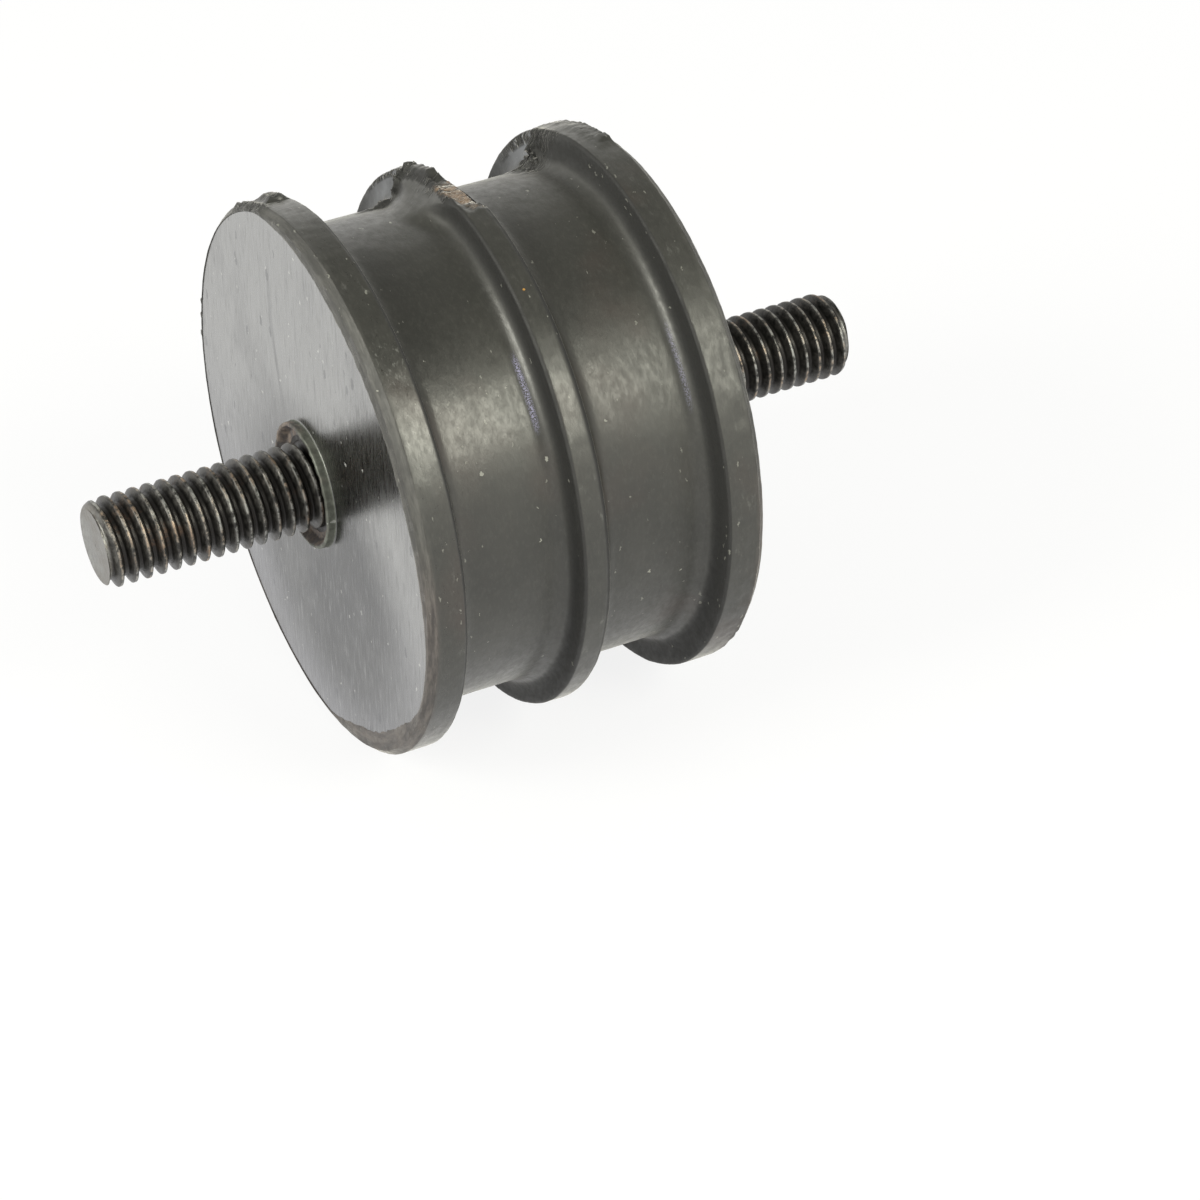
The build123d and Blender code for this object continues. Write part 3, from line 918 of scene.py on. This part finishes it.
        glint = GLINT * bump_between(x, *GLINT_X, 0.15) * bump_between(signed, *GLINT_ANGLES, 4)
        rear_glint = REAR_GLINT * bump_between(x, *REAR_GLINT_X, 0.16)
        rear_glint = rear_glint * bump_between(signed, *REAR_GLINT_ANGLES, 5)
        scuffed = bump_between(signed, *SCUFFS_ANGLES, 4) * bump_between(x, *SCUFFS_X, 0.7)
        return {
            "band": band,
            "brown": brown,
            "torn": self.torn(),
            "rust": self.stain(),
            "land": self.land,
            "wall_reflection": wall_reflection,
            "painted_shade": np.maximum(walls, edges),
            "glint": np.maximum(glint, rear_glint),
            "scuffed": scuffed * self.land,
        }


def rubber_body(material):
    """The moulding with its flash, tears, ragged rims and slightly uneven surface."""
    outer = Moulding()
    lap = rim_lap(outer.signed[0], outer.middling[0])
    front_inside, rear_inside = rubber_inside()
    rings = [
        round_the_axis(*turned(front_inside, outer.degrees)),
        lap_rings(lap, outer.degrees, False),
        outer.surface(),
        lap_rings(lap, outer.degrees, True),
        round_the_axis(*turned(rear_inside, outer.degrees)),
    ]
    inside = np.zeros((len(front_inside), len(outer.degrees)))
    attributes = {}
    for key, value in outer.masks().items():
        front_lap = np.repeat(value[:1], len(LAP_NOSE), axis=0)
        rear_lap = np.repeat(value[-1:], len(LAP_NOSE), axis=0)
        attributes[key] = np.concatenate([inside, front_lap, value, rear_lap, inside])
    vertices, faces = capped_mesh(np.concatenate(rings))
    piece = add_piece("rubber_moulding", vertices, faces, material, 50.0, attributes)
    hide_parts("rubber_body")


# ---- end plates ----


def end_plate(name, node, at_rear, material):
    """An end plate with a rounded lip and a ring groove round its stud."""
    groove_radius = LIP_RADIUS - LIP_FOOT_WIDTH
    lip_inside = LIP_RADIUS - LIP_RIM_WIDTH
    step_x = RIM_SETBACK - POCKET_GAP
    corners = [
        (0.0, NECK_RADIUS, 0),
        (0.0, groove_radius, 0.2),
        (-LIP_HEIGHT, lip_inside, 0.17),
        (-LIP_HEIGHT, LIP_RADIUS, 0.2),
        (0.0, LIP_RADIUS, 0.25),
        (0.0, FACE_RADIUS, 0.1),
        (step_x, FACE_RADIUS, 0),
        (step_x, PLATE_RADIUS, 0),
        (PLATE_THICKNESS, PLATE_RADIUS, 0.12),
        (PLATE_THICKNESS, NECK_RADIUS, 0),
        (0.0, NECK_RADIUS, 0),
    ]
    line = finely(rounded_line(corners, arc_steps=5), 0.4)
    x, r, angle = turned(line, np.linspace(0, FULL_TURN, PLATE_COLUMNS, endpoint=False))
    signed = either_side(angle)
    rings = round_the_axis(x, r, angle)
    wave = rough_field(rings, *PLATE_WAVES)
    grit = rough_field(rings, *PLATE_GRIT)
    lip = bump_between(r, groove_radius, LIP_RADIUS, 0.3) * (x < -0.3)
    hollow = bump_between(r, NECK_RADIUS - 1, lip_inside, 0.12) * (x < 0.5)
    rings[..., 0] += np.where(x < 0.5, 0.02 * wave + lip * (0.08 * wave + 0.05 * grit), 0)
    rings[..., 0] += 0.08 * hollow * np.clip(grit, -0.5, 1)
    if at_rear:
        rings[..., 0] = BODY_LENGTH - rings[..., 0]

    far_side = bump_between(signed, 25, 150, 40)
    attributes = {
        "rust": np.clip(hollow + lip * (0.3 * ease(grit, 0.1, 0.6) + 0.9 * far_side), 0, 1),
        "spot": hollow * bump_between(signed, -118, -92, 8) * ease(grit, -0.3, 0.2),
        "lip": bump_between(r, lip_inside, LIP_RADIUS + 0.15, 0.1) * (x < -0.1),
    }
    attributes = {key: value[:-1] for key, value in attributes.items()}
    vertices, faces = ring_mesh(rings[:-1], flip=at_rear)
    piece = add_piece(name, vertices, faces, material, 50.0, attributes)
    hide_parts(node)


# ---- studs ----


def thread_height(turns):
    """Height of the thread from root (0) to crest (1), for a place given in turns from a crest."""
    from_crest = np.abs((turns + 0.5) % 1.0 - 0.5)
    slope = np.clip((from_crest - CREST_HALF_WIDTH) / FLANK_WIDTH, 0, 1)
    smooth = slope * slope * (3 - 2 * slope)
    return 1 - (0.55 * slope + 0.45 * smooth)


def stud(name, node, tip_x, at_rear, crest_x, material):
    """A stud with a rolled right-hand thread up to its plate, a plain neck and a disc head."""
    side = 1.0 if at_rear else -1.0
    length = tip_x - BODY_LENGTH if at_rear else abs(tip_x)
    degrees = np.linspace(0, FULL_TURN, STUD_COLUMNS, endpoint=False)
    out = np.linspace(length, 0.0, int(length / (THREAD_PITCH / RINGS_PER_PITCH)))
    distance, angle = np.meshgrid(out, degrees, indexing="ij")
    x = BODY_LENGTH + distance if at_rear else -distance
    height = thread_height((x - crest_x) / THREAD_PITCH + (angle - CREST_ANGLE) / FULL_TURN)
    fade = ease(distance, 0.0, THREAD_RUN_IN)
    r = STUD_RADIUS - THREAD_DEPTH * (1 - height) * fade
    chamfer = np.clip((length - distance) / TIP_CHAMFER_LENGTH, 0, 1) ** TIP_CHAMFER_POWER
    r = np.minimum(r, TIP_RADIUS + TIP_CHAMFER_HEIGHT * chamfer)
    worn = rough_field(round_the_axis(x, r, angle), *STUD_LUMPS)
    r = r + THREAD_ROUGHNESS * worn * fade - CREST_WEAR * np.clip(worn, 0, 1) * height
    shank = round_the_axis(x, np.minimum(r, STUD_RADIUS), angle)

    head_end = PLATE_THICKNESS + HEAD_THICKNESS
    inside = rounded_line(
        [
            (0.0, NECK_RADIUS, 0),
            (PLATE_THICKNESS, NECK_RADIUS, 0),
            (PLATE_THICKNESS, HEAD_RADIUS, 0),
            (head_end, HEAD_RADIUS, HEAD_EDGE_RADIUS),
            (head_end, INNER_RING_RADIUS, 0),
        ]
    )
    if at_rear:
        inside[:, 0] = BODY_LENGTH - inside[:, 0]
    tip = np.array([(tip_x - side * dip, TIP_RADIUS * share) for share, dip in TIP_DISH])
    tip, head = (round_the_axis(*turned(line, degrees)) for line in (tip, inside))
    rings = np.concatenate([tip, shank, head])
    at_tip, at_head = np.ones(tip.shape[:2]), np.zeros(head.shape[:2])
    attributes = {
        "crest": np.concatenate([0 * at_tip, height * fade, at_head]),
        "face": np.concatenate([at_tip, 1 - ease(length - distance, 0.15, 0.6), at_head]),
    }
    if at_rear:
        rings = rings[::-1]
        attributes = {key: value[::-1] for key, value in attributes.items()}
    vertices, faces = capped_mesh(rings)
    piece = add_piece(name, vertices, faces, material, 55.0, attributes)
    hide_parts(node)


# ---- stage ----

# The world's strength, by the horizon and overhead, and where it changes (sine of the height).
WORLD_COLOR = (1.0, 0.995, 0.96, 1)
WORLD_LOW = 1.3
WORLD_HIGH = 0.38
WORLD_LOW_END = 0.12
WORLD_HIGH_START = 0.68

# To the camera the floor is part plain white near the mount, so that its shadow stays faint, and
# wholly white far from it. Distances are in metres.
FLOOR_COLOR = (0.9, 0.9, 0.9, 1)
FLOOR_HALF_SIZE = 3.0
FLOOR_GLOW = 0.85
FLOOR_NEAR = 0.12
FLOOR_FAR = 0.45

LAMP_DISTANCE = 0.75
LAMP_SIZE = 0.30


def white_floor(level):
    """A pale floor that stays white to the camera and in reflections, and keeps a soft shadow."""
    n = Surface("pale_floor")
    n.set(Base_Color=FLOOR_COLOR, Roughness=1.0, Specular_IOR_Level=0.0)
    glow = n.add("Emission", {"Strength": 1.0})
    rays = n.add("LightPath").outputs
    away = n.add("VectorMath", {0: n.place}, operation="LENGTH").outputs["Value"]
    white = n.span(away, FLOOR_NEAR, FLOOR_FAR, FLOOR_GLOW, 1.0, "LINEAR")
    seen = n.times(rays["Is Camera Ray"], white)
    share = n.larger(seen, rays["Is Glossy Ray"])
    mix = n.add("MixShader", {0: share, 1: n.shader.outputs[0], 2: glow.outputs[0]})
    n.put(n.tree.nodes["Material Output"].inputs["Surface"], mix.outputs[0])

    mesh = bpy.data.meshes.new("floor")
    signs = ((-1, -1), (1, -1), (1, 1), (-1, 1))
    corners = [(a * FLOOR_HALF_SIZE, b * FLOOR_HALF_SIZE, level) for a, b in signs]
    mesh.from_pydata(corners, [], [(0, 1, 2, 3)])
    mesh.materials.append(n.material)
    floor = bpy.data.objects.new("floor", mesh)
    bpy.context.scene.collection.objects.link(floor)


def surroundings():
    """Plain soft light from all round, dimmer overhead, and white to the camera."""
    world = bpy.data.worlds.new("studio")
    bpy.context.scene.world = world
    n = Nodes(world)
    up = n.split(n.direction)[2]
    strength = n.span(up, WORLD_LOW_END, WORLD_HIGH_START, WORLD_LOW, WORLD_HIGH)
    dim = n.tree.nodes["Background"]
    n.put(dim.inputs["Color"], WORLD_COLOR)
    n.put(dim.inputs["Strength"], strength)
    bright = n.add("Background", {"Color": (1, 1, 1, 1), "Strength": 1.0})
    rays = n.add("LightPath").outputs
    mix = n.add("MixShader", {0: rays["Is Camera Ray"], 1: dim.outputs[0], 2: bright.outputs[0]})
    n.put(n.tree.nodes["World Output"].inputs["Surface"], mix.outputs[0])


def soft_box(name, azimuth, elevation, power, color):
    """A square area lamp that faces the mount. Azimuth is from +Y towards +X."""
    a, e = math.radians(azimuth), math.radians(elevation)
    way = Vector((math.sin(a) * math.cos(e), math.cos(a) * math.cos(e), math.sin(e)))
    light = bpy.data.lights.new(name, "AREA")
    light.shape = "RECTANGLE"
    light.size = light.size_y = LAMP_SIZE
    light.energy = power
    light.color = color
    lamp = bpy.data.objects.new(name, light)
    lamp.location = Vector((MIDDLE_X * MM, 0, 0)) + way * LAMP_DISTANCE
    lamp.rotation_euler = way.to_track_quat("Z", "Y").to_euler()
    bpy.context.scene.collection.objects.link(lamp)


def camera():
    """The camera, looking down from the front left."""
    a, e = math.radians(CAMERA_AZIMUTH), math.radians(CAMERA_ELEVATION)
    back = Vector((math.sin(a) * math.cos(e), -math.cos(a) * math.cos(e), math.sin(e)))
    right = Vector((math.cos(a), math.sin(a), 0))
    turn = Matrix((right, back.cross(right), back)).transposed().to_4x4()
    lens = bpy.data.cameras.new("camera")
    lens.sensor_width = CAMERA_SENSOR
    lens.lens = CAMERA_LENS
    lens.clip_start = CAMERA_NEAR
    lens.clip_end = CAMERA_FAR
    eye = bpy.data.objects.new("camera", lens)
    eye.matrix_world = Matrix.Translation(CAMERA_PLACE) @ turn
    bpy.context.scene.collection.objects.link(eye)
    bpy.context.scene.camera = eye


# ---- the scene ----

rubber_body(rubber_material())
plate = plate_material()
end_plate("front_plate_face", "front_plate", False, plate)
end_plate("rear_plate_face", "rear_plate", True, plate)
thread = thread_material()
stud("front_thread", "front_stud", FRONT_TIP_X, False, FRONT_CREST_X, thread)
stud("rear_thread", "rear_stud", REAR_TIP_X, True, REAR_CREST_X, thread)
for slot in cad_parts["centre_plate"].material_slots:
    slot.material = rusty_material()

white_floor(rubber_low[2] * MM)
surroundings()
soft_box("key", 155.0, 40.0, 3.2, (1.0, 1.0, 0.88))
soft_box("side", 264.0, 31.0, 4.6, (1.0, 1.0, 0.92))
camera()
bpy.context.scene.view_settings.view_transform = "Standard"
